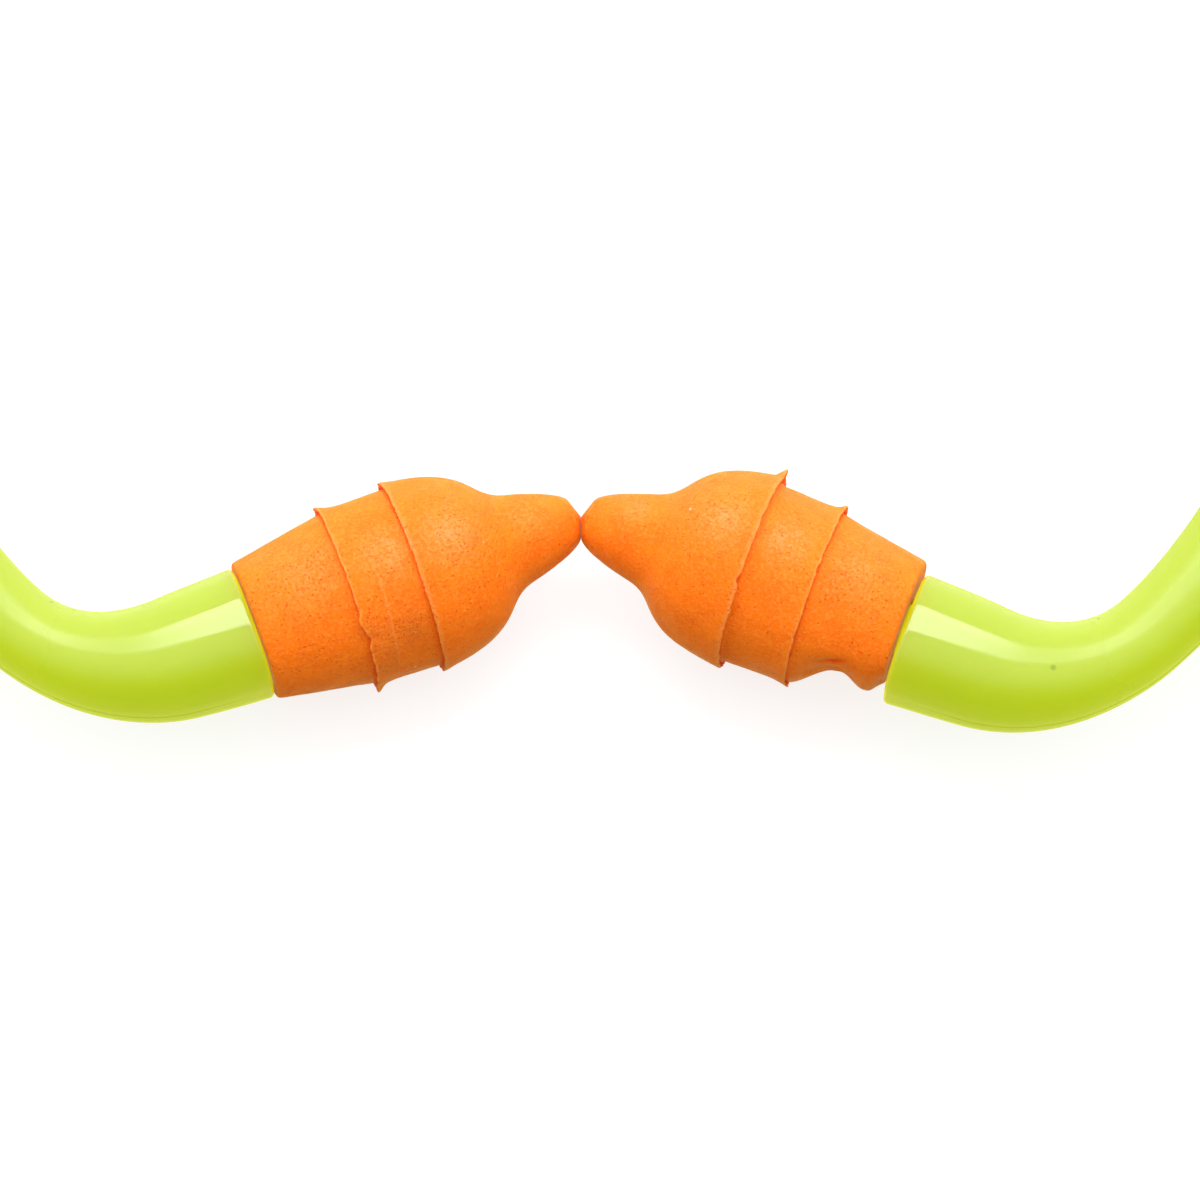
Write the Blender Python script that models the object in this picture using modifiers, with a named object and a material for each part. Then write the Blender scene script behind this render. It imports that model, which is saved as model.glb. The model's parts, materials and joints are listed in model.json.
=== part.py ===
"""Banded foam ear plugs, lying flat on a table.

One springy plastic band, shaped like a wishbone, carries a foam pod on a barbed stem at each end, and
at rest the two pods meet tip to tip. The band is a single moulding. Here it is split into a crown and
two arms, so that the arms can swing where the real band flexes.

+Z is up, +Y runs from the pods to the crown, and the object is its own mirror image across X = 0.
Lengths below are in millimetres, and the meshes are in metres.
"""

import math

import bmesh
import bpy
import numpy as np
from mathutils import Matrix, Vector

MM = 0.001
COLLECTION = "foam_ear_plugs"

# The plane that the band and both pods are centred on, above the table.
MID_Z = 6.7

# Pod: a turned foam shape, measured along its axis from the tail to the tip.
POD_TILT = 20.4
POD_LENGTH = 23.0
POD_TIP_GAP = 0.28
TAIL_RADIUS = 4.85
TAIL_EDGE = 0.5
TAIL_END = 6.15
TAIL_END_RADIUS = 6.0
REAR_LIP_AT = 6.45
REAR_LIP_RADIUS = 6.45
FRONT_LIP_AT = 11.1
FRONT_LIP_RADIUS = 6.68
LIP_STEP_LENGTH = 0.35
MIDDLE_RADIUS = 6.24
LIP_FLARE = 0.8
NECK_AT = 18.8
NECK_RADIUS = 3.1
DOME_HANDLE = (17.5, 5.97)
NECK_HANDLE = 2.65
NECK_SLOPE = 0.26
NOSE_HANDLE = 3.4
NOSE_BLUNTNESS = 1.3
POD_SEGMENTS = 28

# Stem: moulded in one with the arm, and pushed into the pod's bore.
ARM_TO_POD_GAP = 0.3
STEM_RADIUS = 1.75
BARB_RADIUS = 2.15
BARB_COUNT = 3
BARB_PITCH = 3.2
BARB_RAMP = 2.0
STEM_ROOT = 2.0
STEM_COLLAR = 2.4
STEM_NOSE = 1.2
STEM_SEGMENTS = 16
BORE_CLEARANCE = 0.35
BORE_END_CLEARANCE = 0.6

# Band centreline, for the right half: it leaves the pod's tail straight, then follows these arcs, each
# given by its radius and the heading at its end. The crown is the half circle that closes the shape.
STRAIGHT = 5.0
ARM_ARCS = ((11.3, 42.5), (35.0, 60.0), (130.0, 90.0))
CROWN_HEADING = 180.0

# Band section: distance along the half band, thickness seen from above, height and corner radius.
SECTIONS = (
    (0.0, 8.8, 8.6, 3.6),
    (5.0, 8.3, 8.3, 3.6),
    (15.0, 5.8, 6.3, 2.7),
    (24.0, 5.8, 6.6, 2.6),
    (50.0, 4.7, 9.0, 2.0),
    (110.0, 3.2, 13.4, 0.8),
)
ARM_END_EDGE = 0.6
CORNER_STEPS = 4

# Flex joint between arm and crown: a knuckle on the arm turns in a socket on the crown.
HINGE_HEADING = 150.0
KNUCKLE_RADIUS = 1.5
SOCKET_RADIUS = 1.8
KNUCKLE_OVERRUN = 3.0
CUTTER_DEPTH = 10.0
CUTTER_HEIGHT = 24.0
CUTTER_SEGMENTS = 48

BAND_COLOUR = (0.60, 0.83, 0.10, 1.0)
FOAM_COLOUR = (1.0, 0.27, 0.01, 1.0)


def clear_scene():
    for scene_object in list(bpy.data.objects):
        bpy.data.objects.remove(scene_object, do_unlink=True)


def new_collection(name):
    collection = bpy.data.collections.new(name)
    bpy.context.scene.collection.children.link(collection)
    return collection


def new_material(name, colour, roughness):
    material = bpy.data.materials.new(name)
    material.use_nodes = True
    shader = material.node_tree.nodes["Principled BSDF"]
    shader.inputs["Base Color"].default_value = colour
    shader.inputs["Roughness"].default_value = roughness
    shader.inputs["Metallic"].default_value = 0.0
    material.diffuse_color = colour
    return material


def new_object(name, mesh, collection):
    made = bpy.data.objects.new(name, mesh)
    collection.objects.link(made)
    return made


def as_cutter(cutter):
    cutter.hide_render = True
    cutter.display_type = "WIRE"
    return cutter


def add_boolean(target, cutter, operation):
    modifier = target.modifiers.new(operation.lower() + "_" + cutter.name, "BOOLEAN")
    modifier.operation = operation
    modifier.solver = "EXACT"
    modifier.object = cutter


def add_screw(target, segments):
    screw = target.modifiers.new("turned", "SCREW")
    screw.axis = "Z"
    screw.steps = segments
    screw.render_steps = segments
    screw.use_merge_vertices = True
    screw.merge_threshold = 0.00001
    screw.use_smooth_shade = True


def centreline(distance):
    """Place and heading of the right half of the band, with the pods' meeting point at the origin."""
    heading = math.radians(-POD_TILT)
    x, y = arm_end()
    run = min(distance, STRAIGHT)
    x += run * math.cos(heading)
    y += run * math.sin(heading)
    left = distance - run
    for radius, end_degrees in ARM_ARCS:
        turn = min(left / radius, math.radians(end_degrees) - heading)
        x += radius * (math.sin(heading + turn) - math.sin(heading))
        y += radius * (math.cos(heading) - math.cos(heading + turn))
        heading += turn
        left -= radius * turn
    if left > 0:
        radius = x
        turn = left / radius
        x += radius * (math.sin(heading + turn) - math.sin(heading))
        y += radius * (math.cos(heading) - math.cos(heading + turn))
        heading += turn
    return x, y, heading


def pod_axis(side):
    """Unit vector from a pod's tail to its tip; side is +1 on the right and -1 on the left."""
    tilt = math.radians(POD_TILT)
    return Vector((-side * math.cos(tilt), math.sin(tilt), 0.0))


def pod_tail():
    """Centre of the right pod's tail face, with the pods' meeting point at the origin."""
    axis = pod_axis(1)
    return POD_TIP_GAP - POD_LENGTH * axis.x, -POD_LENGTH * axis.y


def arm_end():
    """Centre of the right arm's end face."""
    axis = pod_axis(1)
    x, y = pod_tail()
    return x - ARM_TO_POD_GAP * axis.x, y - ARM_TO_POD_GAP * axis.y


def arc_lengths():
    """Distances along the half band where each arc ends, the crown's quarter circle last."""
    heading = math.radians(-POD_TILT)
    total = STRAIGHT
    ends = []
    for radius, end_degrees in ARM_ARCS:
        total += radius * (math.radians(end_degrees) - heading)
        heading = math.radians(end_degrees)
        ends.append(total)
    crown_radius = centreline(total)[0]
    ends.append(total + crown_radius * (math.radians(CROWN_HEADING) - heading))
    return ends


def hinge_distance():
    side_end, middle = arc_lengths()[-2:]
    start_heading = ARM_ARCS[-1][1]
    share = (HINGE_HEADING - start_heading) / (CROWN_HEADING - start_heading)
    return side_end + share * (middle - side_end)


def section_at(distance):
    """Thickness, height and corner radius, as a smooth cubic through the listed sections."""
    table = np.array(SECTIONS)
    stations = table[:, 0]
    place = float(np.clip(distance, stations[0], stations[-1]))
    index = min(int(np.searchsorted(stations, place, side="right")) - 1, len(stations) - 2)
    width = stations[index + 1] - stations[index]
    t = (place - stations[index]) / width
    values = []
    for column in table.T[1:]:
        slopes = np.gradient(column, stations)
        slopes[-1] = 0.0
        values.append(
            (2 * t**3 - 3 * t**2 + 1) * column[index]
            + (t**3 - 2 * t**2 + t) * width * slopes[index]
            + (3 * t**2 - 2 * t**3) * column[index + 1]
            + (t**3 - t**2) * width * slopes[index + 1]
        )
    return values


def rounded_rectangle(thickness, height, corner):
    """Outline points, anticlockwise, starting at the right side's upper corner."""
    points = []
    centre_x = thickness / 2 - corner
    centre_z = height / 2 - corner
    for quadrant, (sign_x, sign_z) in enumerate(((1, 1), (-1, 1), (-1, -1), (1, -1))):
        for step in range(CORNER_STEPS + 1):
            angle = math.pi / 2 * (quadrant + step / CORNER_STEPS)
            points.append(
                (
                    sign_x * centre_x + corner * math.cos(angle),
                    sign_z * centre_z + corner * math.sin(angle),
                )
            )
    return points


def section_ring(distance, side, inset=0.0):
    """The band's outline at a distance along it, as points in the band's own plan position."""
    x, y, heading = centreline(distance)
    thickness, height, corner = section_at(distance)
    outline = rounded_rectangle(thickness - 2 * inset, height - 2 * inset, corner - inset)
    normal_x, normal_y = -math.sin(heading), math.cos(heading)
    return [Vector((side * (x + a * normal_x), y + a * normal_y, MID_Z + b)) for a, b in outline]


def plan_shift():
    """How far the band moves along Y so that the origin is under the middle of its box."""
    distances = np.linspace(0, arc_lengths()[-1], 600)
    depths = [point.y for distance in distances for point in section_ring(distance, 1)]
    return -(min(depths) + max(depths)) / 2


def spread(start, end, spacing):
    count = max(1, round((end - start) / spacing))
    return list(np.linspace(start, end, count + 1))


def loft(name, rings, collection, origin, open_end=False):
    """Skin a row of rings, closed with flat ends; the object's origin is put at the given point."""
    mesh = bpy.data.meshes.new(name)
    work = bmesh.new()
    rows = [[work.verts.new((point - origin) * MM) for point in ring] for ring in rings]
    for row, following in zip(rows, rows[1:]):
        for index in range(len(row)):
            after = (index + 1) % len(row)
            work.faces.new((row[index], row[after], following[after], following[index]))
    work.faces.new(rows[0])
    if not open_end:
        work.faces.new(rows[-1])
    bmesh.ops.recalc_face_normals(work, faces=work.faces)
    work.to_mesh(mesh)
    work.free()
    mesh.shade_smooth()
    mesh.set_sharp_from_angle(angle=math.radians(40))
    made = new_object(name, mesh, collection)
    made.location = origin * MM
    return made


def knuckle_cutters(side, shift, cutters):
    """The box that ends the arm, hollowed for its knuckle, and the box and round that end the crown."""
    x, y, heading = centreline(hinge_distance())
    pivot = Vector((side * x, y + shift, MID_Z))
    along = Vector((side * math.cos(heading), math.sin(heading), 0.0))
    name = "right" if side > 0 else "left"
    turn = Matrix.Rotation(math.atan2(along.y, along.x), 4, "Z")

    def block(label, sign):
        mesh = bpy.data.meshes.new(label)
        work = bmesh.new()
        bmesh.ops.create_cube(work, size=1.0)
        size = Vector((CUTTER_DEPTH, CUTTER_DEPTH, CUTTER_HEIGHT)) * MM
        bmesh.ops.scale(work, vec=size, verts=work.verts)
        work.to_mesh(mesh)
        work.free()
        made = as_cutter(new_object(label, mesh, cutters))
        made.matrix_world = Matrix.Translation((pivot + along * sign * CUTTER_DEPTH / 2) * MM) @ turn
        return made

    def round_bar(label, radius):
        mesh = bpy.data.meshes.new(label)
        work = bmesh.new()
        bmesh.ops.create_cone(
            work,
            cap_ends=True,
            segments=CUTTER_SEGMENTS,
            radius1=radius * MM,
            radius2=radius * MM,
            depth=(CUTTER_HEIGHT + 2) * MM,
        )
        work.to_mesh(mesh)
        work.free()
        made = as_cutter(new_object(label, mesh, cutters))
        made.matrix_world = Matrix.Translation(pivot * MM) @ turn
        return made

    arm_block = block("arm_cutter_" + name, 1)
    add_boolean(arm_block, round_bar("knuckle_round_" + name, KNUCKLE_RADIUS), "DIFFERENCE")
    crown_block = block("crown_cutter_" + name, -1)
    socket = round_bar("socket_round_" + name, SOCKET_RADIUS)
    return arm_block, (crown_block, socket)


def turned(name, profile, segments, collection):
    """A solid of revolution about Z from a profile of (radius, height) that runs from top to bottom."""
    mesh = bpy.data.meshes.new(name)
    points = [(radius * MM, 0.0, height * MM) for radius, height in profile]
    edges = [(index, index + 1) for index in range(len(points) - 1)]
    mesh.from_pydata(points, edges, [])
    made = new_object(name, mesh, collection)
    add_screw(made, segments)
    return made


def bezier(start, handle, second_handle, end, steps):
    """Points along a cubic curve, without its first one."""
    points = []
    for step in range(1, steps + 1):
        t = step / steps
        weights = ((1 - t) ** 3, 3 * (1 - t) ** 2 * t, 3 * (1 - t) * t**2, t**3)
        corners = (start, handle, second_handle, end)
        points.append(tuple(sum(w * corner[axis] for w, corner in zip(weights, corners)) for axis in (0, 1)))
    return points


def barb_tip_height():
    return STEM_COLLAR + BARB_COUNT * BARB_PITCH


def stem_profile():
    """Barbed stem from its rounded nose down to a root inside the arm, as (radius, height)."""
    top = barb_tip_height() + STEM_NOSE
    profile = [(0.0, top), (STEM_RADIUS * 0.6, top - 0.2 * STEM_NOSE), (STEM_RADIUS, top - STEM_NOSE)]
    for barb in reversed(range(BARB_COUNT)):
        step_height = STEM_COLLAR + barb * BARB_PITCH
        profile.append((STEM_RADIUS, step_height + BARB_RAMP + 0.4))
        profile.append((BARB_RADIUS, step_height + 0.3))
        profile.append((BARB_RADIUS, step_height))
        profile.append((STEM_RADIUS, step_height))
    profile.append((STEM_RADIUS, -STEM_ROOT))
    profile.append((0.0, -STEM_ROOT))
    return profile


def pod_profile():
    """Pod outline from the tip down its outside, then up the bore for the stem, as (radius, height)."""
    neck_to_nose = (NECK_AT + NOSE_HANDLE, NECK_RADIUS - NOSE_HANDLE * NECK_SLOPE)
    neck_from_dome = (NECK_AT - NECK_HANDLE, NECK_RADIUS + NECK_HANDLE * NECK_SLOPE)
    tip = (POD_LENGTH, 0.0)
    neck = (NECK_AT, NECK_RADIUS)
    front_lip = (FRONT_LIP_AT, FRONT_LIP_RADIUS)
    outline = [tip]
    outline += bezier(tip, (POD_LENGTH, NOSE_BLUNTNESS), neck_to_nose, neck, 7)
    outline += bezier(neck, neck_from_dome, DOME_HANDLE, front_lip, 9)
    outline.append((FRONT_LIP_AT - LIP_STEP_LENGTH, MIDDLE_RADIUS))
    outline.append((REAR_LIP_AT + LIP_FLARE, MIDDLE_RADIUS))
    outline.append((REAR_LIP_AT, REAR_LIP_RADIUS))
    outline.append((TAIL_END, TAIL_END_RADIUS))
    outline.append((TAIL_EDGE, TAIL_RADIUS + TAIL_EDGE * (TAIL_END_RADIUS - TAIL_RADIUS) / TAIL_END))
    outline.append((TAIL_EDGE * 0.25, TAIL_RADIUS - TAIL_EDGE * 0.25))
    outline.append((0.0, TAIL_RADIUS - TAIL_EDGE))
    bore_radius = BARB_RADIUS + BORE_CLEARANCE
    bore_end = barb_tip_height() + STEM_NOSE - ARM_TO_POD_GAP + BORE_END_CLEARANCE
    outline.append((0.0, bore_radius))
    outline.append((bore_end - STEM_NOSE, bore_radius))
    outline.append((bore_end, bore_radius * 0.6))
    outline.append((bore_end, 0.0))
    return [(radius, height) for height, radius in outline]


def pod_turn(side):
    """Rotation that lays a turned shape's own +Z along the pod's axis."""
    return pod_axis(side).to_track_quat("Z", "Y")


def make_crown(shift, parts, material):
    """Half of the crown, open at X = 0, and its mirror image."""
    middle = arc_lengths()[-1]
    distances = spread(hinge_distance() - KNUCKLE_OVERRUN, middle, 4.0)
    rings = [section_ring(distance, 1) for distance in distances]
    for point in rings[-1]:
        point.x = 0.0
    for ring in rings:
        for point in ring:
            point.y += shift
    crown = loft("band_crown", rings, parts, Vector((0.0, 0.0, 0.0)), open_end=True)
    mirror = crown.modifiers.new("other_half", "MIRROR")
    mirror.use_axis = (True, False, False)
    mirror.merge_threshold = 0.00001
    crown.data.materials.append(material)
    return crown


def make_arm(side, shift, parts, cutters, material):
    """One arm: thick at the pod, slimmer past the bend, then a strap, with the stem moulded on its end."""
    name = "right" if side > 0 else "left"
    bend_end, flare_end, side_end, _ = arc_lengths()
    rings = []
    for step in range(4):
        angle = math.pi / 6 * step
        along = ARM_END_EDGE * (1 - math.cos(angle))
        rings.append(section_ring(along, side, inset=ARM_END_EDGE * (1 - math.sin(angle))))
    distances = spread(ARM_END_EDGE, bend_end, 1.6)[1:]
    distances += spread(bend_end, flare_end, 2.8)[1:]
    distances += spread(flare_end, side_end, 7.0)[1:]
    distances += spread(side_end, hinge_distance() + KNUCKLE_OVERRUN, 4.0)[1:]
    rings += [section_ring(distance, side) for distance in distances]
    for ring in rings:
        for point in ring:
            point.y += shift
    x, y, _ = centreline(hinge_distance())
    hinge = Vector((side * x, y + shift, 0.0))
    arm = loft("band_arm_" + name, rings, parts, hinge)
    arm.data.materials.append(material)

    end_x, end_y = arm_end()
    stem = as_cutter(turned("stem_" + name, stem_profile(), STEM_SEGMENTS, cutters))
    stem.rotation_mode = "QUATERNION"
    stem.rotation_quaternion = pod_turn(side)
    stem.location = Vector((side * end_x, end_y + shift, MID_Z)) * MM
    add_boolean(arm, stem, "UNION")
    return arm


def make_pod(side, shift, parts, material):
    name = "right" if side > 0 else "left"
    pod = turned("pod_" + name, pod_profile(), POD_SEGMENTS, parts)
    pod.rotation_mode = "QUATERNION"
    pod.rotation_quaternion = pod_turn(side)
    tail_x, tail_y = pod_tail()
    pod.location = Vector((side * tail_x, tail_y + shift, MID_Z)) * MM
    pod.data.materials.append(material)
    return pod


def hang(child, parent):
    """Parent an object and leave it where it is; neither parent here is rotated or scaled."""
    child.parent = parent
    child.location -= parent.matrix_world.translation


def build():
    clear_scene()
    parts = new_collection(COLLECTION)
    cutters = new_collection("cutters")
    plastic = new_material("lime_plastic", BAND_COLOUR, 0.25)
    foam = new_material("orange_foam", FOAM_COLOUR, 0.85)
    shift = plan_shift()
    crown = make_crown(shift, parts, plastic)
    for side in (-1, 1):
        arm = make_arm(side, shift, parts, cutters, plastic)
        pod = make_pod(side, shift, parts, foam)
        arm_cutter, crown_cutters = knuckle_cutters(side, shift, cutters)
        add_boolean(arm, arm_cutter, "DIFFERENCE")
        for cutter in crown_cutters:
            add_boolean(crown, cutter, "DIFFERENCE")
        bpy.context.view_layer.update()
        hang(pod, arm)
        hang(arm, crown)
    bpy.context.view_layer.update()


build()
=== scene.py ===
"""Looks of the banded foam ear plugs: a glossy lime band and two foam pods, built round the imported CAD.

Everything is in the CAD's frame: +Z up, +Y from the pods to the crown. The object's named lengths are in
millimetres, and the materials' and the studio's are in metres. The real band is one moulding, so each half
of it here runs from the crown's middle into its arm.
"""

import json
import math

import bmesh
import bpy
import numpy as np
from mathutils import Matrix, Vector, noise


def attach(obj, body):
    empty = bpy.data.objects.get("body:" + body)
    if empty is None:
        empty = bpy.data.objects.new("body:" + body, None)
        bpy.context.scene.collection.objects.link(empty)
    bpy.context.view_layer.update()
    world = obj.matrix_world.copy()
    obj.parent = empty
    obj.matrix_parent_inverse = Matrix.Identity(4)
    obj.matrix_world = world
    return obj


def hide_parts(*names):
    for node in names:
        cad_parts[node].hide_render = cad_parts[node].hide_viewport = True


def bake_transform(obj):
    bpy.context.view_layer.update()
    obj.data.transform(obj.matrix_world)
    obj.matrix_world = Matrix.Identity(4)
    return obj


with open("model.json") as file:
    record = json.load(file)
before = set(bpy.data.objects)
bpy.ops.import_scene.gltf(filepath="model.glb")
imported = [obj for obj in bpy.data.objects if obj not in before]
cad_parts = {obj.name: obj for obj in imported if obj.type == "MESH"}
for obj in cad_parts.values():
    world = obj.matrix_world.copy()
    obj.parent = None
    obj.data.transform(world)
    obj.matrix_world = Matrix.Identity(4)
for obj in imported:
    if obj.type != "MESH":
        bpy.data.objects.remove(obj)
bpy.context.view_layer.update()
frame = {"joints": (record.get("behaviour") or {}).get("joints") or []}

MM = 0.001
JOINTS = {joint["name"]: joint for joint in frame["joints"]}
SIDES = {"left": -1, "right": 1}

# Band: the same centreline and sections as the CAD, skinned finely. An arc is its radius and its heading
# at its end in degrees. A section is its distance along, thickness, height and corner radius.
ARM_TO_POD_GAP = 0.3
STRAIGHT = 5.0
ARM_ARCS = ((11.3, 42.5), (35.0, 60.0), (130.0, 90.0))
CROWN_HEADING = 180.0
SECTIONS = (
    (0.0, 8.8, 8.6, 3.6),
    (5.0, 8.3, 8.3, 3.6),
    (15.0, 5.8, 6.3, 2.7),
    (24.0, 5.8, 6.6, 2.6),
    (50.0, 4.7, 9.0, 2.0),
    (110.0, 3.2, 13.4, 0.8),
)
END_EDGE = 0.38
END_EDGE_STEPS = 8
END_FACE_INSETS = (1.8, 1.2)
BEND_SPACING = 0.35
ARM_SPACING = 1.2
SHARP_ANGLE = math.radians(50.0)

# A round section is drawn as a square one whose corners take up almost all of it.
NEARLY_ROUND = 0.999

# The mould's parting line: a fine ridge at mid height, which starts a little way from the band's end.
SEAM_HEIGHT = 0.045
SEAM_WIDTH = 0.09
SEAM_FADE = (0.5, 6.0)

# Points round a section, as shares of its outline: close together at the parting line, and evenly spaced
# over the rest of each side (first, last and count).
SEAM_SHARES = (0.0015, 0.003, 0.0045, 0.006, 0.010)
SIDE_SHARES = (0.02, 0.48, 72)

# The barbed stem inside each pod. Its foot lists distances from the end face and additions to the radius.
STEM_RADIUS = 1.75
STEM_COLLAR = 2.4
STEM_NOSE = 1.2
STEM_NOSE_STEPS = 6
STEM_FOOT = ((-0.3, 0.0), (-0.05, 0.05), (0.0, 0.35))
BARB_RADIUS = 2.1
BARB_COUNT = 3
BARB_PITCH = 3.2
BARB_LENGTH = 2.4
BARB_LAND = 0.3
BARB_CHAMFER = 0.05

# The right arm sits a little off its mirrored place, away from the crown, and both arms' ends are a
# little off their pods' axes. Each offset fades out along the arm. The right end also reaches further.
ARM_DROP = {"left": 0.0, "right": 0.73}
DROP_FADE = (25.0, 150.0)
END_DROP = {"left": 0.12, "right": -0.08}
END_DROP_FADE = (1.0, 10.0)
END_REACH = {"left": 0.0, "right": 0.31}

# Small moulding flaws on the arms' upper side: side, distance along, offset to the crown's side, radius.
ARM_FLAWS = (
    ("right", 9.8, -0.75, 0.26),
    ("right", 14.3, 2.3, 0.14),
    ("left", 15.5, 2.3, 0.14),
)

# Pod, along its axis from the tail to the tip, as in the CAD, with the lips drawn as thin skirts. A pair is
# a distance along the axis and one outwards, and the pairs of the corner, the middle's handles, the bore's
# chamfer and the lips' rims are added to a size.
TIP_CLEARANCE = 0.004
TIP_RING = 0.05
TAIL_REACH = {"left": 0.26, "right": -0.03}
TAIL_RADIUS = 4.86
TAIL_END_RADIUS = 6.03
TAIL_FACE_RADIUS = 4.5
TAIL_CORNER = ((0.35, 0.03), (0.08, -0.02), (0.0, -0.10))
REAR_LIP_AT = 6.42
REAR_LIP_RADIUS = 6.40
FRONT_LIP_AT = 11.08
FRONT_LIP_RADIUS = 6.67
LIP_FACE = 0.02
LIP_RIM = ((LIP_FACE, 0.0), (-0.05, -0.02), (-0.075, -0.085), (-0.03, -0.17), (0.10, -0.221))
LIP_FOOT = ((0.16, 0.04), (0.12, 0.0))
MIDDLE_RADIUS = 6.25
MIDDLE_HANDLES = ((-1.8, 0.06), (1.2, -0.23))
NECK_AT = 18.83
NECK_RADIUS = 3.1
DOME_HANDLE = (17.5, 5.97)
NECK_HANDLE = 2.67
NECK_SLOPE = 0.26
NOSE_HANDLE = 2.59
NOSE_FLAT = 1.38
BLUNT_HANDLE = 0.41
BORE_RADIUS = 2.2
BORE_DEPTH = 14.2
BORE_CHAMFER = (0.15, 0.1)
BORE_CONE = 0.8
BORE_END_RADIUS = 0.4

# Rows of points on each stretch of a pod's profile. The last rows, in and by the bore, stay plain.
ROWS = {
    "tip": 10,
    "nose": 44,
    "dome": 70,
    "middle": 46,
    "tail": 56,
    "corner": 8,
    "face": 14,
    "mouth": 2,
    "bore": 10,
    "cone": 4,
}
INSIDE_ROWS = 18
POD_AROUND = 360

# Foam that would reach the table is kept this far above it.
TABLE_CLEARANCE = 0.01


def smoothstep(low, high, value):
    t = np.clip((value - low) / (high - low), 0.0, 1.0)
    return t * t * (3 - 2 * t)


def pod_place(side):
    """World matrix of a pod: its origin at the tail, +Z to the tip and +Y up."""
    joint = JOINTS[("left" if side < 0 else "right") + "_pod_twist"]
    along = Vector(joint["axis"]).normalized()
    up = Vector((0.0, 0.0, 1.0))
    across = up.cross(along).normalized()
    turn = Matrix((across, up, along)).transposed().to_4x4()
    return Matrix.Translation(Vector(joint["pos_m"])) @ turn


def mesh_object(name, vertices, faces):
    mesh = bpy.data.meshes.new(name)
    mesh.from_pydata([tuple(v) for v in vertices], [], faces)
    mesh.validate()
    work = bmesh.new()
    work.from_mesh(mesh)
    bmesh.ops.recalc_face_normals(work, faces=work.faces)
    work.to_mesh(mesh)
    work.free()
    mesh.shade_smooth()
    made = bpy.data.objects.new(name, mesh)
    bpy.context.scene.collection.objects.link(made)
    return made


def grid_faces(rows, columns):
    """Quads between rows of a closed ring each."""
    faces = []
    for row in range(rows - 1):
        for column in range(columns):
            after = (column + 1) % columns
            a, b = row * columns + column, row * columns + after
            faces.append((a, b, b + columns, a + columns))
    return faces


def set_attribute(target, name, values):
    attribute = target.data.attributes.new(name, "FLOAT", "POINT")
    attribute.data.foreach_set("value", np.asarray(values, np.float32))


# ---------------------------------------------------------------- band


def pod_tilt():
    return math.acos(abs(JOINTS["right_pod_twist"]["axis"][0]))


def arm_end(side):
    place = pod_place(side)
    return place @ Vector((0.0, 0.0, -ARM_TO_POD_GAP * MM)) / MM


def centreline(distance, start, tilt):
    """Place and heading of the right half of the band at a distance from its end face."""
    heading = -tilt
    x, y = start.x, start.y
    run = min(distance, STRAIGHT)
    x += run * math.cos(heading)
    y += run * math.sin(heading)
    left = distance - run
    for radius, end_degrees in ARM_ARCS:
        turn = max(0.0, min(left / radius, math.radians(end_degrees) - heading))
        x += radius * (math.sin(heading + turn) - math.sin(heading))
        y += radius * (math.cos(heading) - math.cos(heading + turn))
        heading += turn
        left -= radius * turn
    if left > 0:
        radius = x
        turn = left / radius
        x += radius * (math.sin(heading + turn) - math.sin(heading))
        y += radius * (math.cos(heading) - math.cos(heading + turn))
        heading += turn
    return x, y, heading


def arm_lengths(start, tilt):
    """Distances where the bend ends, where the side ends, and where the crown's middle is."""
    heading, total, ends = -tilt, STRAIGHT, []
    for radius, end_degrees in ARM_ARCS:
        total += radius * (math.radians(end_degrees) - heading)
        heading = math.radians(end_degrees)
        ends.append(total)
    crown_radius = centreline(total, start, tilt)[0]
    ends.append(total + crown_radius * (math.radians(CROWN_HEADING) - heading))
    return ends


def section_at(distance):
    """Thickness, height and corner radius, as a smooth cubic through the listed sections."""
    table = np.array(SECTIONS)
    stations = table[:, 0]
    place = float(np.clip(distance, stations[0], stations[-1]))
    index = min(int(np.searchsorted(stations, place, side="right")) - 1, len(stations) - 2)
    width = stations[index + 1] - stations[index]
    t = (place - stations[index]) / width
    values = []
    for column in table.T[1:]:
        slopes = np.gradient(column, stations)
        slopes[-1] = 0.0
        values.append(
            (2 * t**3 - 3 * t**2 + 1) * column[index]
            + (t**3 - 2 * t**2 + t) * width * slopes[index]
            + (3 * t**2 - 2 * t**3) * column[index + 1]
            + (t**3 - t**2) * width * slopes[index + 1]
        )
    return values


def perimeter_shares():
    """Places round a section, as shares of its outline from the middle of its outer side."""
    half = np.array(SEAM_SHARES)
    near = np.concatenate([-half[::-1], [0.0], half])
    wide = np.linspace(*SIDE_SHARES)
    shares = np.concatenate([near, wide, 0.5 + near, 0.5 + wide])
    return np.sort(shares % 1.0)


SHARES = perimeter_shares()


def outline(thickness, height, corner):
    """Outline points of a rounded rectangle at SHARES, from the middle of its outer side."""
    half_t, half_h = thickness / 2, height / 2
    flat_h, flat_t = half_h - corner, half_t - corner
    arc = corner * math.pi / 2
    quarter = flat_h + arc + flat_t
    points = []
    for share in SHARES:
        turn, rest = divmod(share * 4, 1.0)
        if int(turn) % 2:
            rest = 1.0 - rest
        run = rest * quarter
        if run < flat_h:
            a, b = half_t, run
        elif run < flat_h + arc:
            angle = (run - flat_h) / corner
            a, b = flat_t + corner * math.cos(angle), flat_h + corner * math.sin(angle)
        else:
            a, b = quarter - run, half_h
        sign_a = 1 if int(turn) in (0, 3) else -1
        sign_b = 1 if int(turn) in (0, 1) else -1
        points.append((sign_a * a, sign_b * b))
    return points


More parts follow.
